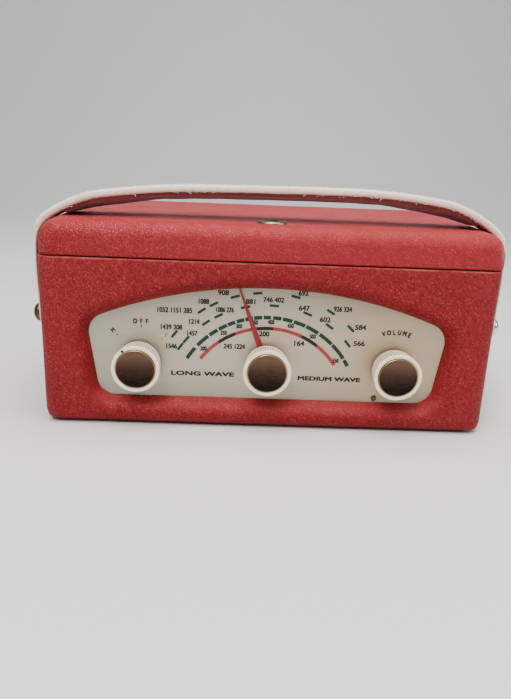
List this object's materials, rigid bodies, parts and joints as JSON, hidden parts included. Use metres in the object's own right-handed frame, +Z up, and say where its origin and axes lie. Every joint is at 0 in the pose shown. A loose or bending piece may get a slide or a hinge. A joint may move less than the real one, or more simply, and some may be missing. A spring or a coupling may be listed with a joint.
{
  "type": "portable transistor radio",
  "caption": "Leathercloth portable radio lying on its speaker side, with a recessed dial, turning knobs and pointer, a hinged back cover with a coin catch, and a swinging strap handle.",
  "frame": {"origin": "on the surface that the radio lies on, under the middle of the whole object's box", "axes": "+X runs to the right along the dial, +Y from the dial to the base end with the feet, +Z up from the speaker side to the opening back cover"},
  "size_m": [0.2572, 0.142, 0.1312],
  "materials": {
    "aluminium": "plain sheet",
    "battery_wrap": "printed wrap, no wording",
    "black_plastic": "black",
    "brass": "worn bright",
    "bright_metal": "bright plated",
    "coil": "enamelled wire",
    "copper_disc": "spun copper tone",
    "cream_plastic": "moulded, fluted edge",
    "cream_vinyl": "smooth cream vinyl",
    "dial_metal": "satin silver-cream",
    "ferrite": "dark grey",
    "laminate": "paper laminate",
    "leathercloth": "grained leathercloth, satin",
    "lining_cloth": "dark red backing",
    "magnet": "dark paint",
    "paper_cone": "black felted paper",
    "plywood": "bare plywood",
    "red_pointer": "red enamel",
    "rubber": "black",
    "speaker_cloth": "black weave",
    "steel": "zinc plated"
  },
  "bodies": {
    "cabinet": {"carcass": "plywood", "body_leathercloth": "leathercloth", "foot_left_low": "rubber", "foot_left_high": "rubber", "foot_right_low": "rubber", "foot_right_high": "rubber", "grille_frame": "bright_metal", "speaker_grille": "bright_metal", "speaker_cloth": "speaker_cloth", "dial_panel": "dial_metal", "panel_screw_left": "steel", "panel_screw_right": "steel", "chassis": "steel", "circuit_board": "laminate", "wave_switch_body": "laminate", "volume_control_body": "bright_metal", "capacitor_frame": "steel", "ferrite_rod": "ferrite", "long_wave_coil": "coil", "medium_wave_coil": "coil", "rod_holder_left": "rubber", "rod_holder_right": "rubber", "tuned_can_1": "aluminium", "tuned_can_2": "aluminium", "tuned_can_3": "aluminium", "driver_transformer": "steel", "output_transformer": "steel", "transistor_1": "aluminium", "transistor_2": "aluminium", "smoothing_capacitor": "aluminium", "speaker_frame": "steel", "speaker_cone": "paper_cone", "speaker_magnet": "magnet", "battery": "battery_wrap", "battery_connector": "black_plastic", "hinge_body_leaf_left": "steel", "hinge_body_leaf_right": "steel", "catch_keeper": "steel", "handle_stud_left": "bright_metal", "handle_stud_right": "bright_metal"},
    "lid": {"lid_board": "plywood", "lid_leathercloth": "leathercloth", "hinge_lid_leaf_left": "steel", "hinge_lid_leaf_right": "steel", "catch_bezel": "bright_metal"},
    "catch": {"catch_button": "brass", "catch_tongue": "steel"},
    "tuning": {"tuning_knob": "cream_plastic", "tuning_knob_disc": "copper_disc", "tuning_spindle": "steel", "tuning_pointer": "red_pointer", "moving_vanes": "aluminium"},
    "volume": {"volume_knob": "cream_plastic", "volume_knob_disc": "copper_disc", "volume_spindle": "steel"},
    "wave_switch": {"wave_switch_knob": "cream_plastic", "wave_switch_knob_disc": "copper_disc", "wave_switch_spindle": "steel"},
    "handle": {"handle_strap": "cream_vinyl", "handle_lining": "lining_cloth"}
  },
  "joints": [
    {"name": "tuning_turn", "type": "hinge", "parent": "cabinet", "child": "tuning", "pos_m": [0, -0.058, 0.0356], "axis": [0, 1, 0], "range_deg": [-59, 105]},
    {"name": "volume_turn", "type": "hinge", "parent": "cabinet", "child": "volume", "pos_m": [0.0698, -0.058, 0.0356], "axis": [0, 1, 0], "range_deg": [-150, 150]},
    {"name": "wave_switch_turn", "type": "hinge", "parent": "cabinet", "child": "wave_switch", "pos_m": [-0.0698, -0.058, 0.0356], "axis": [0, 1, 0], "range_deg": [0, 75]},
    {"name": "lid_hinge", "type": "hinge", "parent": "cabinet", "child": "lid", "pos_m": [0, 0.0693, 0.0932], "axis": [-1, 0, 0], "range_deg": [0, 105], "deforming": ["handle_strap", "handle_lining"]},
    {"name": "catch_turn", "type": "hinge", "parent": "lid", "child": "catch", "pos_m": [0, -0.047, 0.112], "axis": [0, 0, -1], "range_deg": [0, 90]},
    {"name": "handle_swing", "type": "hinge", "parent": "cabinet", "child": "handle", "pos_m": [0, -0.046, 0.059], "axis": [1, 0, 0], "range_deg": [0, 112]}
  ]
}
